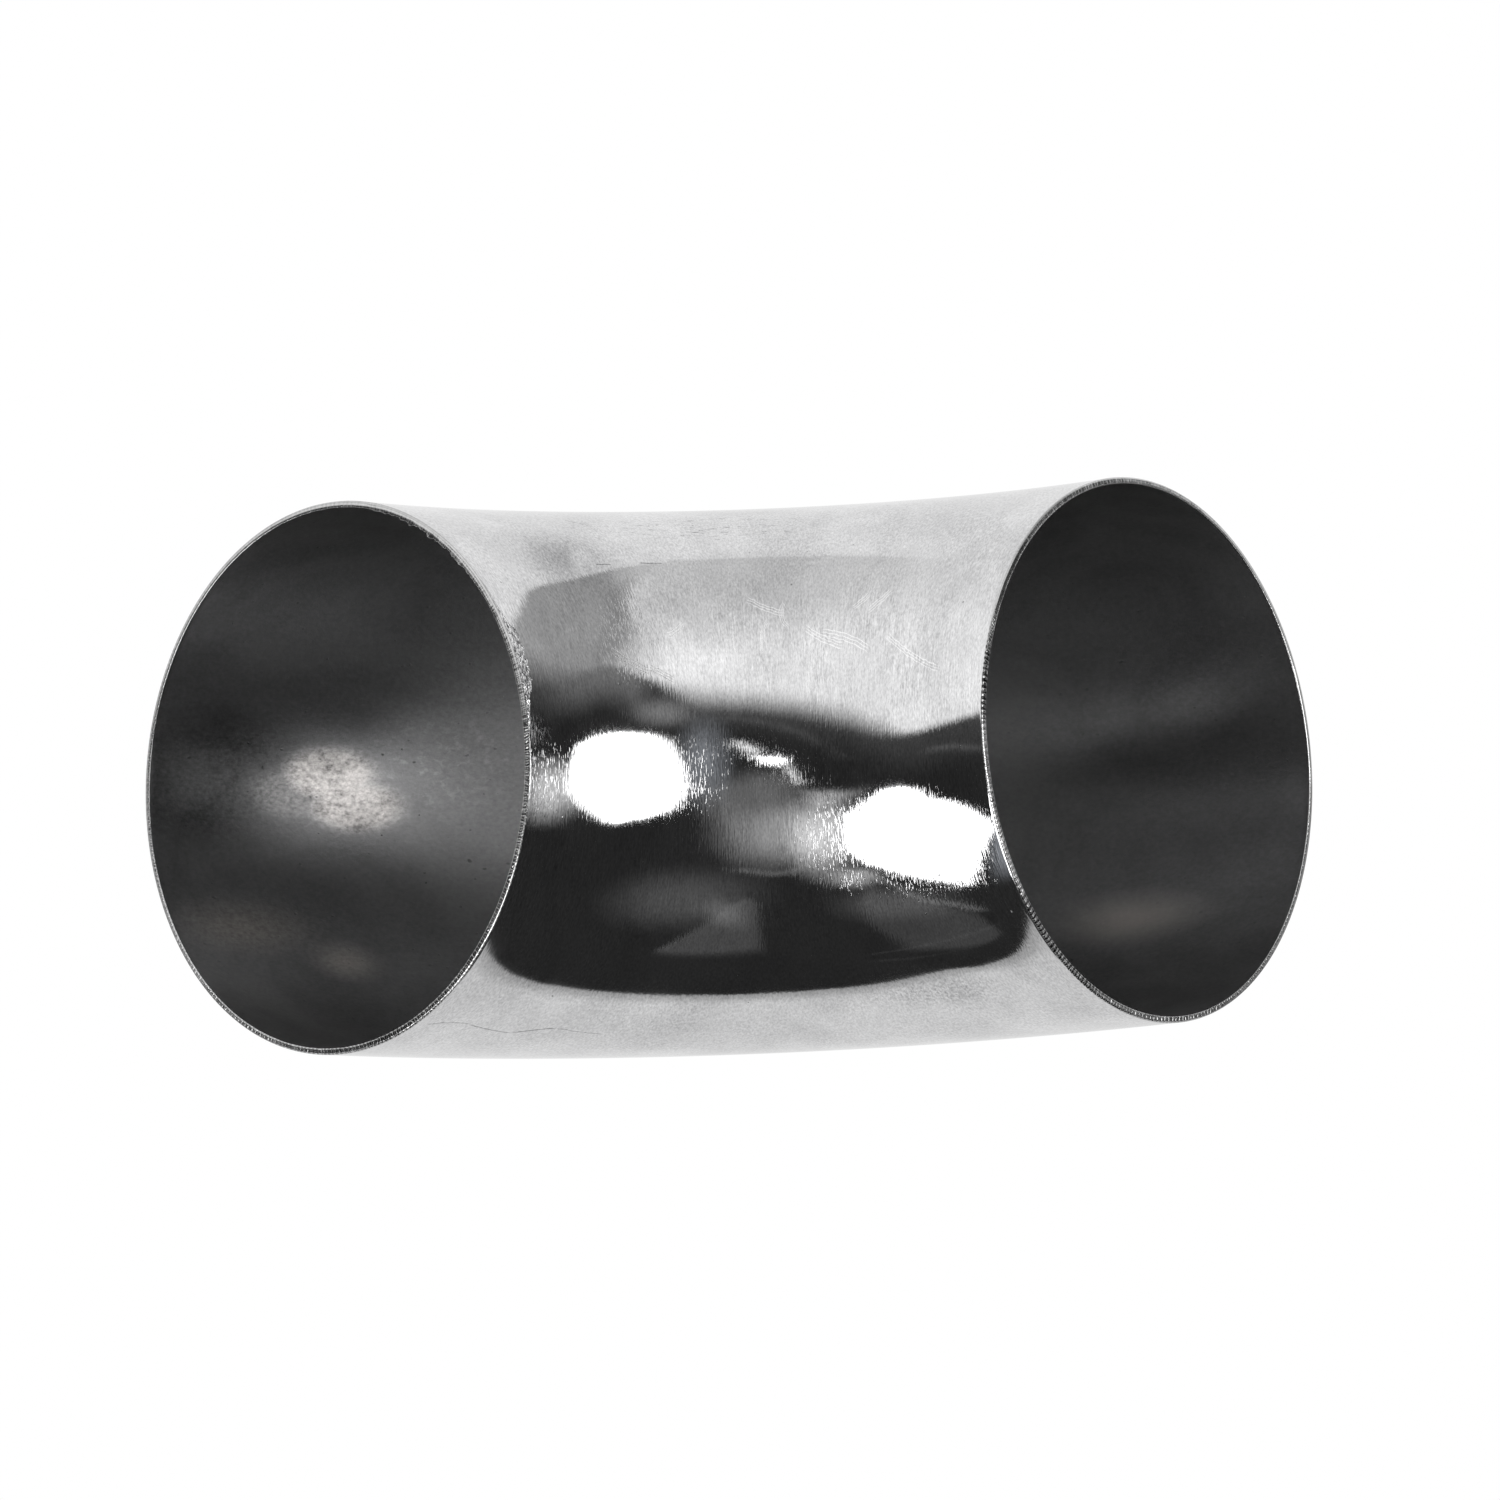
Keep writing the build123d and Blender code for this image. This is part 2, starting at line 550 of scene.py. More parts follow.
def polished_outside():
    finish, tree, shader = new_finish("polished_outside", (0.72, 0.72, 0.725, 1), 0.11)
    parts = add_node(tree, "ShaderNodeSeparateXYZ", Vector=lay_place(tree))
    along = math_node(tree, "WRAP", parts.outputs["X"], 2 * BEND_LENGTH + 2 * WALL, 0.0)
    around = parts.outputs["Y"]
    lay = add_node(tree, "ShaderNodeCombineXYZ", X=along, Y=around, Z=0.0).outputs[0]
    place = round_place(tree, lay)

    # The belt bit hardest on the two sides of the bend, and hardly at all on its top and bottom
    angle = math_node(tree, "DIVIDE", around, TUBE_RADIUS)
    facing = math_node(tree, "ABSOLUTE", math_node(tree, "COSINE", angle))
    belt_zone = ease(tree, facing, 0.62, 0.93, 0.12, 1.0)
    belt = place_group(tree, groups["streaks"], Place=place, Width=0.0005, Length=0.003, Patchiness=0.6)
    grain = place_group(tree, groups["streaks"], Place=place, Width=0.00045, Length=0.0007, Patchiness=0.2)
    cloud = place_group(tree, groups["cloud"], Place=place, Scale=55.0, Detail=6.0).outputs[0]
    specks = place_group(tree, groups["specks"], Place=place, Spacing=0.004, Speck_size=0.07,
                         Share=0.22).outputs[0]
    # Deeper scratches of the belt, which catch the lamps beside their own pictures
    deep_place = vector_node(tree, "MULTIPLY", place, (3300.0, 760.0, 760.0))
    deep_noise = add_node(tree, "ShaderNodeTexNoise", Vector=deep_place, Scale=1.0, Detail=1.0, Roughness=0.5)
    glitter = times(tree, oval_patch(tree, lay, on_lay(84, 186), 130.0, 25.0, 0.45), 0.16)
    for middle, half_along, half_round, share in GLITTER:
        spot = oval_patch(tree, lay, on_lay(*middle), half_along, half_round, 0.8)
        glitter = math_node(tree, "MAXIMUM", glitter, times(tree, spot, share))
    deep = times(tree, ease(tree, deep_noise.outputs["Fac"], 0.54, 0.80), glitter)
    fine_lines = times(tree, belt.outputs["Streaks"], belt_zone)
    hair = strokes(tree, lay, HAIRLINE)
    pale = strokes(tree, lay, PALE_SCRATCHES, bundle=1.0)
    nicks = strokes(tree, lay, DARK_NICKS)

    # Handling marks along the top of the bend: short dashes that run with the tube
    dash_place = vector_node(tree, "MULTIPLY", place, (230.0, 1400.0, 1400.0))
    dashes = add_node(tree, "ShaderNodeTexNoise", Vector=dash_place, Scale=1.0, Detail=5.0, Roughness=0.75)
    dash_zone = oval_patch(tree, lay, on_lay(78, 119), 34.0, 9.0)
    dash_mask = times(tree, ease(tree, dashes.outputs["Fac"], 0.57, 0.64), dash_zone)

    # Smudge near the inlet, on the top of the bend
    smudge = times(tree, oval_patch(tree, lay, on_lay(35, 133), 22.0, 15.0, 1.0), ease(tree, cloud, 0.0, 0.7))

    # Grey, grainy patch near the outlet, on the bottom of the bend
    soil_grain = add_node(tree, "ShaderNodeTexNoise", Vector=place, Scale=1500.0, Detail=3.0, Roughness=0.7)
    soil_zone = oval_patch(tree, lay, on_lay(130, 238), 27.0, 6.5, 0.9)
    soiled = times(tree, ease(tree, soil_grain.outputs["Fac"], 0.38, 0.66), soil_zone)

    # Strip outside the inlet mouth that was ground by hand to take off the burr
    strip_width = curve_through(tree, math_node(tree, "DIVIDE", around, GIRTH), GROUND_STRIP, 0.36, 0.54)
    rough_edge = add_node(tree, "ShaderNodeTexNoise", Vector=place, Scale=900.0, Detail=2.0)
    reach = times(tree, strip_width, math_node(tree, "MULTIPLY_ADD", rough_edge.outputs["Fac"], 0.006, 0.003))
    ground = ease(tree, along, reach, math_node(tree, "SUBTRACT", reach, 0.0003))
    ground = times(tree, ground, math_node(tree, "GREATER_THAN", strip_width, 0.01))
    grit_place = vector_node(tree, "MULTIPLY", place, (1500.0, 800.0, 800.0))
    grit = add_node(tree, "ShaderNodeTexNoise", Vector=grit_place, Scale=1.0, Detail=1.0, Roughness=0.7)

    swell = add_node(tree, "ShaderNodeTexNoise", Vector=place, Scale=60.0, Detail=1.0)
    depth = total(
        tree,
        times(tree, swell.outputs["Fac"], 0.00004),
        times(tree, fine_lines, 0.000015),
        times(tree, grain.outputs["Streaks"], 0.000004),
        times(tree, deep, 0.000019),
        times(tree, pale, 0.000012),
        times(tree, specks, -0.00001),
        times(tree, grit.outputs["Fac"], times(tree, ground, 0.00055)),
    )
    feed(tree, shader, "Normal", sunk(tree, depth))

    tone = total(
        tree,
        0.63,
        times(tree, cloud, 0.17),
        times(tree, fine_lines, 0.55),
        times(tree, grain.outputs["Streaks"], 0.6),
        times(tree, deep, -0.06),
        times(tree, pale, 0.24),
        times(tree, smudge, -0.36),
        times(tree, dash_mask, -0.45),
        times(tree, nicks, -0.40),
        times(tree, hair, -0.42),
        times(tree, soiled, -0.30),
        times(tree, specks, -0.35),
    )
    tone = blend_value(tree, ground, tone, math_node(tree, "MULTIPLY_ADD", grit.outputs["Fac"], 3.2, -0.85))
    blue = total(tree, tone, 0.006)
    colour = add_node(tree, "ShaderNodeCombineColor", Red=tone, Green=tone, Blue=blue)
    feed(tree, shader, "Base Color", colour.outputs[0])

    rough = total(
        tree,
        0.045,
        times(tree, cloud, 0.035),
        times(tree, pale, 0.12),
        times(tree, specks, 0.25),
        times(tree, dash_mask, 0.2),
        times(tree, ground, 0.10),
    )
    feed(tree, shader, "Roughness", rough)
    return finish


def dull_bore():
    finish, tree, shader = new_finish("dull_bore", (0.2, 0.2, 0.2, 1), 0.33, metallic=0.8)
    lay = lay_place(tree)
    place = round_place(tree, lay)
    cloud = place_group(tree, groups["cloud"], Place=place, Scale=38.0, Detail=6.0).outputs[0]
    grain = add_node(tree, "ShaderNodeTexNoise", Vector=place, Scale=1300.0, Detail=3.0, Roughness=0.7)
    blotch = add_node(tree, "ShaderNodeTexNoise", Vector=place, Scale=250.0, Detail=3.0, Roughness=0.65)
    specks = place_group(tree, groups["specks"], Place=place, Spacing=0.0024, Speck_size=0.12,
                         Share=0.8).outputs[0]
    lay_along = add_node(tree, "ShaderNodeSeparateXYZ", Vector=lay).outputs["X"]
    bore_along = math_node(tree, "SUBTRACT", 2 * BEND_LENGTH + WALL, lay_along)
    from_middle = math_node(tree, "ABSOLUTE", math_node(tree, "SUBTRACT", bore_along, BEND_LENGTH / 2))
    deep_inside = ease(tree, from_middle, 0.062, 0.02)
    # Painted highlight: these patches lighten the bore's colour, with blotches and grain, where the lamp's
    # broad glow shows inside the inlet mouth
    painted_highlight = math_node(tree, "MAXIMUM", oval_patch(tree, lay, on_bore(29, 8.5), 9.0, 7.0, 0.5),
                       oval_patch(tree, lay, on_bore(33, 1.5), 9.0, 6.5, 0.5))
    painted_highlight_faint = times(tree, oval_patch(tree, lay, on_bore(23, 4), 8.0, 6.5, 0.6), 0.3)
    painted_highlight = math_node(tree, "MAXIMUM", painted_highlight, painted_highlight_faint)
    near_mouth = oval_patch(tree, lay, on_bore(9, 7), 24.0, 18.0, 0.6)
    scuffed = oval_patch(tree, lay, on_bore(48, 12), 20.0, 15.0, 0.8)
    dirty = oval_patch(tree, lay, on_bore(42, 2), 28.0, 28.0, 0.6)
    flecks = add_node(tree, "ShaderNodeTexNoise", Vector=place, Scale=620.0, Detail=3.0, Roughness=0.65)
    # Painted glow: these patches lighten and warm the bore's colour where the lamps' light glows inside the
    # inlet and the outlet
    painted_glow_wide = oval_patch(tree, lay, on_bore(12, 332), 17.0, 9.0, 1.0)
    rubbed_deep = oval_patch(tree, lay, on_bore(58, 18), 26.0, 50.0, 1.0)
    painted_glow_low = oval_patch(tree, lay, on_bore(27, 323), 8.0, 7.0, 1.0)
    painted_glow_outlet = oval_patch(tree, lay, on_bore(144, 327), 16.0, 9.0, 1.0)
    painted_glow_warmth = total(tree, times(tree, painted_highlight, 0.6), painted_glow_low, painted_glow_outlet, painted_glow_wide)
    speckle = math_node(tree, "SUBTRACT", grain.outputs["Fac"], 0.5)
    tone = total(
        tree,
        0.17,
        times(tree, cloud, 0.09),
        times(tree, deep_inside, 0.10),
        times(tree, painted_highlight, ease(tree, blotch.outputs["Fac"], 0.20, 0.66), 0.26),
        times(tree, rubbed_deep, 0.16),
        times(tree, near_mouth, -0.15),
        times(tree, painted_glow_low, 0.20),
        times(tree, painted_glow_outlet, 0.23),
        times(tree, painted_glow_wide, 0.12),
        times(tree, scuffed, ease(tree, flecks.outputs["Fac"], 0.52, 0.68), 0.10),
        times(tree, speckle, total(tree, 0.12, times(tree, painted_highlight, 0.8), times(tree, rubbed_deep, 0.2),
                                   times(tree, painted_glow_wide, 0.3), times(tree, painted_glow_low, 0.3))),
        times(tree, specks, math_node(tree, "MULTIPLY_ADD", dirty, 0.75, 0.25), -0.16),
    )
    # Warm tint of the painted highlight and the painted glow
    red = times(tree, tone, math_node(tree, "MULTIPLY_ADD", painted_glow_warmth, 0.07, 1.0))
    blue = times(tree, tone, math_node(tree, "MULTIPLY_ADD", painted_glow_warmth, -0.06, 1.01))
    colour = add_node(tree, "ShaderNodeCombineColor", Red=red, Green=tone, Blue=blue)
    feed(tree, shader, "Base Color", colour.outputs[0])
    depth = total(
        tree,
        times(tree, grain.outputs["Fac"], 0.00003),
        times(tree, specks, -0.00002),
    )
    feed(tree, shader, "Normal", sunk(tree, depth))
    rough = total(tree, 0.34, times(tree, rubbed_deep, 0.25), times(tree, deep_inside, 0.1))
    feed(tree, shader, "Roughness", rough)
    return finish


# How strong the ladder of saw teeth is, by place round the mouth as a share of the girth
OUTLET_LADDER = ((0.0, 0.0), (0.42, 0.0), (0.455, 0.9), (0.485, 1.0), (0.505, 0.4), (0.53, 0.5),
                 (0.58, 0.55), (0.62, 1.0), (0.66, 1.0), (0.70, 0.3), (1.0, 0.0))
INLET_LADDER = ((0.0, 0.1), (0.25, 0.1), (0.30, 0.0), (0.47, 0.0), (0.53, 0.5), (0.58, 0.25),
                (0.64, 0.6), (0.70, 0.6), (0.80, 0.4), (1.0, 0.1))
TOOTH_PITCH = 0.00105


def sawn_cut():
    """The sawn end of the wall: marks across it, both edges rolled over, and small nicks."""
    finish, tree, shader = new_finish("sawn_cut", (0.6, 0.6, 0.6, 1), 0.16)
    lay = lay_place(tree)
    place = round_place(tree, lay)
    parts = add_node(tree, "ShaderNodeSeparateXYZ", Vector=lay)
    on_outlet = math_node(tree, "LESS_THAN", parts.outputs["X"], BEND_LENGTH * 1.5)
    out_step = math_node(tree, "SUBTRACT", BEND_LENGTH + WALL, parts.outputs["X"])
    in_step = math_node(tree, "SUBTRACT", parts.outputs["X"], BEND_LENGTH * 2 + WALL)
    share = math_node(tree, "DIVIDE", blend_value(tree, on_outlet, in_step, out_step), WALL)
    cloud = place_group(tree, groups["cloud"], Place=place, Scale=90.0, Detail=4.0).outputs[0]
    teeth_place = vector_node(tree, "MULTIPLY", place, (200.0, 2100.0, 2100.0))
    teeth = add_node(tree, "ShaderNodeTexNoise", Vector=teeth_place, Scale=1.0, Detail=2.0, Roughness=0.6)
    turned = times(tree, parts.outputs["Y"], 2 * math.pi / TOOTH_PITCH)
    shaken = total(tree, times(tree, cloud, 9.0), times(tree, teeth.outputs["Fac"], 1.6), turned)
    ladder = ease(tree, math_node(tree, "SINE", shaken), -0.3, 0.5)
    around_share = math_node(tree, "DIVIDE", parts.outputs["Y"], GIRTH)
    ladder_out = curve_through(tree, around_share, OUTLET_LADDER, 0.0, 1.0)
    ladder_in = curve_through(tree, around_share, INLET_LADDER, 0.0, 1.0)
    ladder_zone = blend_value(tree, on_outlet, ladder_in, ladder_out)
    grooves = math_node(tree, "SINE", times(tree, share, 15.0))
    lean = add_node(tree, "ShaderNodeTexNoise", Vector=place, Scale=110.0, Detail=2.0)
    depth = total(
        tree,
        times(tree, teeth.outputs["Fac"], 0.00005),
        times(tree, lean.outputs["Fac"], 0.0004),
        times(tree, share, 0.00012),
        times(tree, ladder, ladder_zone, 0.00022),
        times(tree, grooves, cloud, 0.000012),
    )
    feed(tree, shader, "Normal", sunk(tree, depth))
    tone = total(
        tree,
        0.41,
        times(tree, teeth.outputs["Fac"], 0.25),
        times(tree, cloud, 0.12),
        times(tree, grooves, 0.07),
        times(tree, ladder, ladder_zone, -0.50),
    )
    feed(tree, shader, "Base Color", grey_colour(tree, tone))
    feed(tree, shader, "Roughness", math_node(tree, "MULTIPLY_ADD", cloud, 0.12, 0.14))
    return finish


# The room

# Where the light ceiling ahead ends: azimuth, and elevation as a share of 100 degrees
CEILING_EDGE = ((-84, 0.129), (-66, 0.112), (-52, 0.097), (-43, 0.133), (-32, 0.182), (-16, 0.240),
                (1, 0.272), (22, 0.290), (42, 0.348), (58, 0.385), (70, 0.342), (86, 0.318))
# How far behind the tube the pale sheet starts, by how far to the right: under the tube, then over it
SHEET_EDGE_LOW = ((-0.62, 0.245), (-0.54, 0.271), (-0.46, 0.306), (-0.36, 0.330), (-0.30, 0.313),
                  (-0.25, 0.264), (-0.12, 0.262), (0.04, 0.257), (0.17, 0.275), (0.32, 0.317),
                  (0.44, 0.362), (0.56, 0.366), (0.61, 0.356))
SHEET_EDGE_HIGH = ((-0.64, 0.213), (-0.52, 0.300), (-0.42, 0.316), (-0.34, 0.261), (-0.24, 0.214),
                   (0.01, 0.186), (0.22, 0.191), (0.42, 0.180), (0.54, 0.240), (0.66, 0.216))


def studio_world():
    world = bpy.data.worlds.new("studio")
    bpy.context.scene.world = world
    tree = empty_tree(world)
    direction = add_node(tree, "ShaderNodeTexCoord").outputs["Generated"]
    ahead = vector_node(tree, "DOT_PRODUCT", direction, ROOM_AHEAD)
    right = vector_node(tree, "DOT_PRODUCT", direction, ROOM_RIGHT)
    up = vector_node(tree, "DOT_PRODUCT", direction, (0.0, 0.0, 1.0))
    azimuth = math_node(tree, "DEGREES", math_node(tree, "ARCTAN2", right, ahead))
    elevation = math_node(tree, "DEGREES", math_node(tree, "ARCSINE", up))

    # Pale sheet behind, over and under the tube. Its edge passes a little behind the tube, all the way round.
    edge_low = curve_through(tree, right, SHEET_EDGE_LOW, -1.0, 1.0)
    edge_high = curve_through(tree, right, SHEET_EDGE_HIGH, -1.0, 1.0)
    sheet_edge = blend_value(tree, ease(tree, up, -0.1, 0.1), edge_low, edge_high)
    past_edge = math_node(tree, "SUBTRACT", times(tree, ahead, -1.0), sheet_edge)
    sheet = ease(tree, past_edge, -0.006, 0.010)
    sheet_light = ease(tree, up, -0.9, 0.6, 0.74, 0.9)
    edge_shade = ease(tree, past_edge, 0.13, 0.0, 0.0, ease(tree, up, 0.0, -0.3, 0.06, 0.43))
    sheet_light = times(tree, sheet_light, math_node(tree, "SUBTRACT", 1.0, edge_shade))

    # Light ceiling ahead, down to a wavy edge, darker to the right
    edge = times(tree, curve_through(tree, azimuth, CEILING_EDGE, -100.0, 100.0), 100.0)
    above = math_node(tree, "SUBTRACT", elevation, edge)
    from_middle = math_node(tree, "ABSOLUTE", total(tree, azimuth, 6.0))
    soft_end = ease(tree, azimuth, 66.0, 84.0, 0.0, 6.5)
    softness = total(tree, ease(tree, from_middle, 28.0, 50.0, 7.5, 1.6), soft_end)
    ceiling = ease(tree, above, times(tree, softness, -1.0), softness)
    dim_up = ease(tree, elevation, 76.0, 66.0)
    lifted = math_node(tree, "MAXIMUM", math_node(tree, "SUBTRACT", elevation, 50.0), 0.0)
    dim_side = total(tree, times(tree, lifted, lifted, 0.073), times(tree, lifted, 0.35))
    into_dim = math_node(tree, "SUBTRACT", azimuth, dim_side)
    blur = ease(tree, elevation, 68.0, 44.0, 2.0, 11.0)
    dim_across = ease(tree, into_dim, math_node(tree, "SUBTRACT", 53.0, blur), total(tree, 53.0, blur))
    dim = times(tree, dim_across, dim_up)
    bright = ease(tree, elevation, 80.0, 44.0, 0.68, 1.0)
    dim_light = ease(tree, into_dim, 76.0, 58.0, 0.40, 0.31)
    ceiling_light = blend_value(tree, dim, bright, dim_light)

    # Dark side of the room ahead, with a grey strip under the ceiling's hump
    strip = times(tree, ease(tree, above, -19.0, -1.0), ease(tree, azimuth, 38.0, 50.0),
                  ease(tree, azimuth, 88.0, 66.0, 0.15, 1.0))
    dark_light = total(tree, times(tree, strip, 0.15), ease(tree, above, -19.0, -3.0, 0.0, 0.035), 0.024)
    front = blend_value(tree, ceiling, dark_light, ceiling_light)
    room = blend_value(tree, sheet, front, sheet_light)

    # Two grey flags behind, which draw the tube's edges in the views from the back
    to_the_side = math_node(tree, "ABSOLUTE", azimuth)
    side_swing = math_node(tree, "ABSOLUTE", math_node(tree, "SUBTRACT", to_the_side, 138.0))
    up_swing = math_node(tree, "ABSOLUTE", total(tree, elevation, 4.0))
    flag = times(tree, ease(tree, side_swing, 38.0, 14.0), ease(tree, up_swing, 26.0, 5.0))
    room = blend_value(tree, flag, room, 0.2)

    studio = add_node(tree, "ShaderNodeBackground", Color=grey_colour(tree, room), Strength=1.0)
    white = add_node(tree, "ShaderNodeBackground", Color=(1, 1, 1, 1), Strength=1.0)
    seen = add_node(tree, "ShaderNodeLightPath").outputs["Is Camera Ray"]
    shown = blend_shader(tree, seen, studio.outputs[0], white.outputs[0])
    add_node(tree, "ShaderNodeOutputWorld", Surface=shown)


def glow_material(name, strength, tint, sampled):
    """Light that adds to what lies behind it. It falls with the square of the level given at each corner."""
    light = bpy.data.materials.new(name)
    tree = empty_tree(light)
    level = add_node(tree, "ShaderNodeAttribute", {"attribute_name": "glow"}).outputs["Fac"]
    power = times(tree, math_node(tree, "POWER", level, 2.0), strength)
    emission = add_node(tree, "ShaderNodeEmission", Color=(*tint, 1.0), Strength=power)
    clear = tree.nodes.new("ShaderNodeBsdfTransparent")
    both = tree.nodes.new("ShaderNodeAddShader")
    tree.links.new(emission.outputs[0], both.inputs[0])
    tree.links.new(clear.outputs[0], both.inputs[1])
    add_node(tree, "ShaderNodeOutputMaterial", Surface=both.outputs[0])
    light.cycles.emission_sampling = "AUTO" if sampled else "NONE"
    return light


def room_card(name, middle, rings, strength, tint=(1.0, 1.0, 1.0), sampled=False):
    """A glowing panel of the room. Each ring is its level and its corners, as azimuth and elevation."""
    mesh = bmesh.new()
    glow = mesh.verts.layers.float.new("glow")

    def spot(corner, level):
        vert = mesh.verts.new(ROOM_CENTRE + room_direction(*corner) * CARD_DISTANCE)
        vert[glow] = level
        return vert

    hub = spot(middle, 1.0)
    last = None
    for level, corners in rings:
        ring = [spot(corner, level) for corner in corners]
        for index in range(len(ring)):
            following = (index + 1) % len(ring)
            if last is None:
                mesh.faces.new((hub, ring[index], ring[following]))
            else:
                mesh.faces.new((last[index], ring[index], ring[following], last[following]))
        last = ring
    finish_card(name, mesh, strength, tint, sampled)


def finish_card(name, mesh, strength, tint, sampled):
    data = bpy.data.meshes.new(name)
    mesh.to_mesh(data)
    mesh.free()
    data.materials.append(glow_material(name + "_light", strength, tint, sampled))
    card = bpy.data.objects.new(name, data)
    bpy.context.scene.collection.objects.link(card)
    card.visible_camera = False
    card.visible_shadow = False
    card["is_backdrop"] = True


def window(name, corners, fade, strength, sampled=True):
    """A panel with straight sides. Fade is how far its light thins out past each corner, in degrees."""
    middle = [sum(places) / len(corners) for places in zip(*corners)]
    reaches = fade if isinstance(fade, tuple) else (fade,) * len(corners)
    past = []
    for corner, reach in zip(corners, reaches):
        away = Vector((corner[0] - middle[0], corner[1] - middle[1])).normalized() * reach
        past.append((corner[0] + away.x, corner[1] + away.y))
    room_card(name, middle, ((1.0, corners), (0.0, past)), strength, sampled=sampled)


def light_line(name, spots, half_width, strength):
    """A thin bent line of light, brightest along its middle."""
    mesh = bmesh.new()
    glow = mesh.verts.layers.float.new("glow")
    rows = []
    for spot in spots:
        row = []
        for side, level in ((-1, 0.0), (0, 1.0), (1, 0.0)):
            way = room_direction(spot[0], spot[1] + side * half_width)
            vert = mesh.verts.new(ROOM_CENTRE + way * CARD_DISTANCE)
            vert[glow] = 0.0 if spot in (spots[0], spots[-1]) else level
            row.append(vert)
        rows.append(row)
    for first, second in zip(rows, rows[1:]):
        for side in (0, 1):
            mesh.faces.new((first[side], second[side], second[side + 1], first[side + 1]))
    finish_card(name, mesh, strength, (1.0, 1.0, 1.0), False)


def soft_glow(name, middle, half_wide, half_high, strength, tint=(1.0, 1.0, 1.0), lean=0.0):
    """A soft oval of light, brightest in the middle."""
    tilt = math.radians(lean)
    rings = []
    for reach, level in ((0.25, 0.95), (0.5, 0.75), (0.75, 0.42), (1.0, 0.0)):
        corners = []
        for step in range(20):
            turn = math.pi * step / 10
            wide = half_wide * reach * math.cos(turn)
            high = half_high * reach * math.sin(turn)
            corners.append((middle[0] + wide * math.cos(tilt) - high * math.sin(tilt),
                            middle[1] + wide * math.sin(tilt) + high * math.cos(tilt)))
        rings.append((level, corners))
    room_card(name, middle, rings, strength, tint)


# The four short bars of the glint between the windows: corners, and strength
GLINT_BARS = (
    (((9.6, 11.4), (8.4, 11), (7.8, 7.6), (8.8, 8)), 1.4),
    (((7.4, 10.4), (6.2, 10), (5.4, 5.8), (6.6, 6.2)), 1.6),
    (((5.2, 9.2), (4.2, 8.8), (3.4, 4.2), (4.6, 4.6)), 1.8),
    (((3.2, 8.0), (2.2, 7.6), (1.6, 3.2), (2.6, 3.4)), 1.8),
)
COOL = (0.92, 0.97, 1.05)


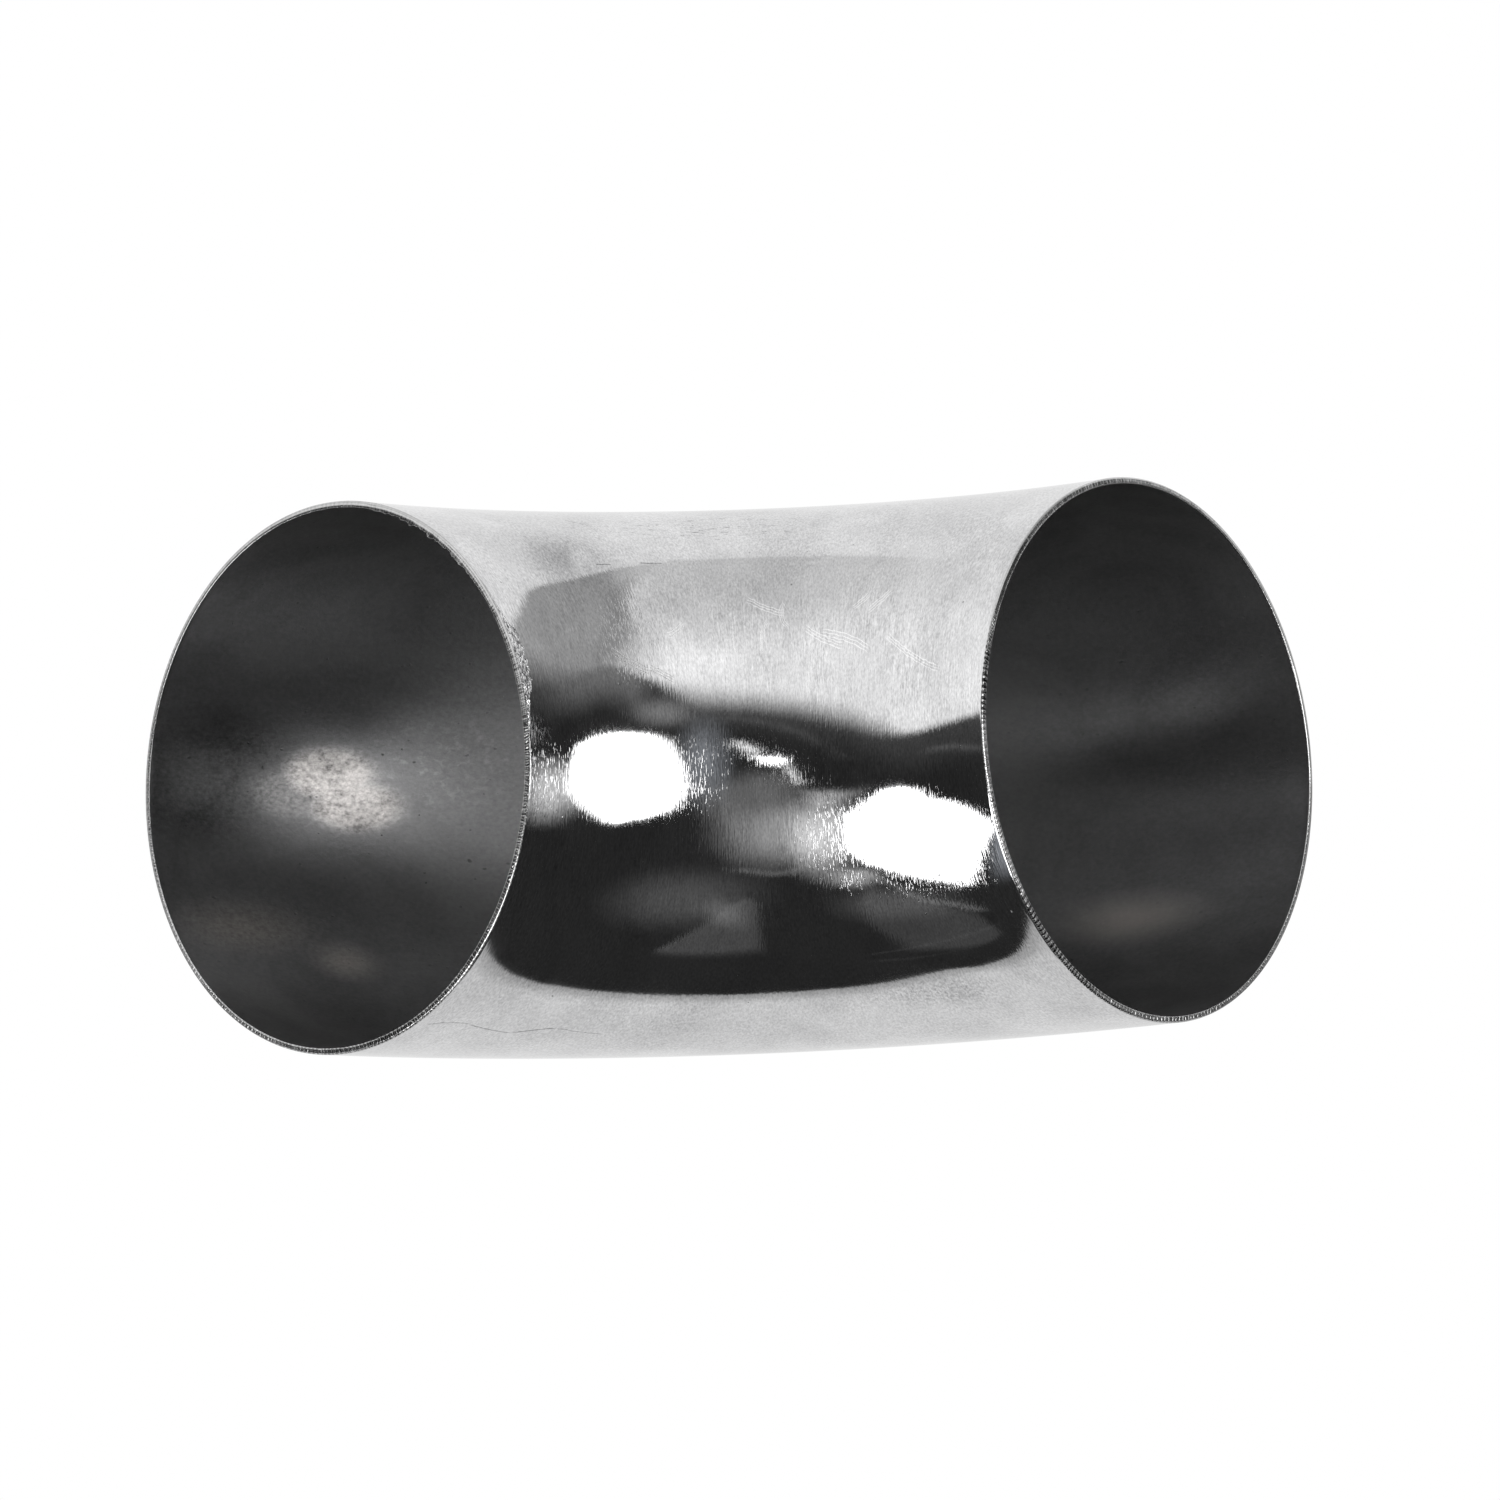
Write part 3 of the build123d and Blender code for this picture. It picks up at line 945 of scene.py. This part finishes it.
def room_windows():
    window("window_right",
           ((28, -6), (29.5, -1), (31.4, 4), (34.4, 9), (38, 11.8), (42, 13.2), (48, 13.7), (55, 13.2),
            (63, 11), (68, 8.5), (70.5, 3), (71, -2), (69.5, -7), (64, -12.4), (58, -17.4), (54.4, -19.2),
            (43, -18), (35, -16.2), (31.5, -13.4), (29, -10)),
           (3, 3, 4, 5, 3, 1.5, 0.9, 0.9, 0.9, 0.9, 1, 2.5, 5, 4, 2.5, 1.5, 0.9, 0.9, 2, 3), 4.0)
    window("window_left",
           ((-28.2, -22), (-34, -18.2), (-39, -14.2), (-44, -11.5), (-49.6, -11.2), (-54.3, -12.3),
            (-58.4, -15.6), (-68, -17.3), (-75.2, -19.3), (-81.6, -22.5), (-86, -25.5), (-84, -27.5),
            (-82, -32), (-81, -37.4), (-80.6, -42), (-80.4, -47.4), (-72.9, -46.6), (-62, -46),
            (-51, -44.8), (-43.4, -42.2), (-36.4, -40.6), (-29.6, -34.8), (-28.2, -28.8)), 0.9, 4.0)
    for number, (corners, strength) in enumerate(GLINT_BARS, 1):
        window(f"glint_bar_{number}", corners, 0.4, strength, sampled=False)
    window("glint_blob",
           ((1.8, 4.4), (-1.3, 3.7), (-4.8, 4.0), (-8.0, 2.2), (-5.8, 0.2), (-2.0, 1.2), (0.6, 2.3)),
           0.5, 4.0, sampled=False)
    window("glint_tail",
           ((-7.4, 2.2), (-10.3, -1.4), (-12.8, -6.5), (-13.3, -8.2), (-11.6, -7.6), (-9.2, -3.8)),
           0.6, 1.1, sampled=False)
    window("wall_corner",
           ((10.3, -54.2), (5.8, -57.7), (9.0, -68), (17.1, -78), (56.4, -75.3), (71.0, -70.3),
            (37.4, -66.0), (21.6, -59.3)), (1.5, 1, 3, 8, 12, 12, 6, 3), 0.055, sampled=False)
    window("pale_board",
           ((-39.6, -50.7), (-54.6, -54.6), (-71.8, -56.4), (-91.7, -56.5), (-111, -59), (-114, -62.6),
            (-107, -68.0), (-90, -72.0), (-52.0, -66.5), (-40.5, -58.5)),
           (2, 1, 1, 1, 2, 3, 5, 6, 6, 4), 0.04, sampled=False)
    light_line("board_edge", ((-33, -43.3), (-36, -44.3), (-43.8, -47.4), (-50.7, -50.4), (-56, -52.7),
                              (-66.5, -55), (-78.1, -54.9), (-90.3, -54.7), (-97, -54.6)), 1.5, 0.22)
    light_line("board_line_1", ((-85, -80), (-87.5, -77.5), (-93.6, -71.5), (-99.1, -65.8), (-103.9, -59.4),
                                (-107, -55)), 1.3, 0.07)
    light_line("board_line_2", ((-104, -80), (-105.9, -78.5), (-111.6, -72.6), (-114.2, -65.9), (-118, -60)),
               1.3, 0.06)
    light_line("haze_arc", ((13, -41), (10.4, -41.8), (5, -43.4), (-2.7, -44.7), (-10.5, -43.9),
                            (-15.9, -41.2), (-20, -39)), 2.2, 0.14)
    light_line("pale_curve", ((-9, -9), (-12.8, -10), (-19.9, -12.4), (-26.9, -13), (-34.3, -12), (-40, -10)),
               3.0, 0.16)
    light_line("ridge_line", ((22, 22), (10.8, 20.5), (-3.4, 17.5), (-14, 13), (-20.9, 8.5), (-26.1, 3),
                              (-34, -1)), 3.0, 0.05)
    light_line("ledge_right", ((-54, 1.5), (-62, 3), (-72, 2.8), (-79.7, 1.6), (-86, 0)), 2.6, 0.07)
    soft_glow("haze_by_window_right", (81, -6.5), 20, 13.5, 0.75)
    soft_glow("haze_over_window_left", (-22, -14), 13, 5, 0.33)
    soft_glow("haze_under_window_left", (-33, -47), 14, 6, 0.5)
    soft_glow("haze_under_ceiling", (36, 22), 16, 8, 0.2)
    soft_glow("haze_left_of_window_right", (20, 3), 13, 24, 0.24, COOL)
    soft_glow("haze_by_window_left", (-20, -30), 17, 22, 0.75)
    soft_glow("grey_wall", (-4, -27), 30, 20, 0.36)
    soft_glow("grey_by_glint", (0, -8), 17, 10, 0.15)
    soft_glow("grey_by_glint_left", (14, -14), 12, 12, 0.12)
    soft_glow("grey_wall_low", (35, -52), 46, 17, 0.07)
    soft_glow("grey_wall_low_ahead", (21, -61), 14, 10, 0.09, lean=20)
    soft_glow("grey_wall_low_left", (-55, -57), 36, 11, 0.07, lean=-4)
    soft_glow("haze_beside_window_left", (-92, -30), 10, 16, 0.40, COOL)
    soft_glow("ceiling_bright_spot", (22, 44), 26, 14, 0.14)


# Floor and camera, in metres

FLOOR_RADIUS = 1.6
FLOOR_WHOLE = 0.25  # out to here the floor is whole
FLOOR_GONE = 1.4  # and from here on it is clear
LENS_MM = 117.897
SENSOR_MM = 36.0
CAMERA_PLACE = (0.649403, -0.623637, -0.103648)
CAMERA_RIGHT = Vector((0.748181, 0.662199, -0.041440))
CAMERA_UP = Vector((0.108225, -0.060179, 0.992303))


def pale_floor(level):
    """Plain floor that keeps the tube's shadow. It is clear from below, and thins out to nothing far away."""
    mesh = bmesh.new()
    bmesh.ops.create_circle(mesh, cap_ends=True, segments=96, radius=FLOOR_RADIUS)
    data = bpy.data.meshes.new("floor")
    mesh.to_mesh(data)
    mesh.free()
    floor = bpy.data.objects.new("floor", data)
    floor.location = (ROOM_CENTRE.x, ROOM_CENTRE.y, level)
    bpy.context.scene.collection.objects.link(floor)
    paint = bpy.data.materials.new("pale_floor")
    tree = empty_tree(paint)
    matte = add_node(tree, "ShaderNodeBsdfDiffuse", Color=(0.95, 0.95, 0.95, 1.0))
    clear = tree.nodes.new("ShaderNodeBsdfTransparent")
    from_below = add_node(tree, "ShaderNodeNewGeometry").outputs["Backfacing"]
    place = add_node(tree, "ShaderNodeTexCoord").outputs["Object"]
    far = ease(tree, vector_node(tree, "LENGTH", place), FLOOR_WHOLE, FLOOR_GONE)
    gone = math_node(tree, "MAXIMUM", from_below, far)
    shown = blend_shader(tree, gone, matte.outputs[0], clear.outputs[0])
    add_node(tree, "ShaderNodeOutputMaterial", Surface=shown)
    data.materials.append(paint)
    floor.visible_glossy = False
    floor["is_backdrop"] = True


def photo_camera():
    lens = bpy.data.cameras.new("camera")
    lens.sensor_width = SENSOR_MM
    lens.lens = LENS_MM
    lens.clip_start = 0.01
    lens.clip_end = 50.0
    camera = bpy.data.objects.new("camera", lens)
    bpy.context.scene.collection.objects.link(camera)
    turn = Matrix((CAMERA_RIGHT, CAMERA_UP, CAMERA_RIGHT.cross(CAMERA_UP))).transposed()
    camera.matrix_world = Matrix.Translation(CAMERA_PLACE) @ turn.to_4x4()
    bpy.context.scene.camera = camera


bpy.context.scene.view_settings.view_transform = "Standard"
photo_camera()
studio_world()
room_windows()

groups = {
    "streaks": polishing_streaks_group(),
    "specks": specks_group(),
    "cloud": cloud_group(),
    "stroke": stroke_group(),
}
tube = build_tube()
tube.data.materials.append(polished_outside())
tube.data.materials.append(dull_bore())
tube.data.materials.append(sawn_cut())
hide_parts("elbow")
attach(tube, "root")

made_low, made_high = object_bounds()
pale_floor(made_low.z)
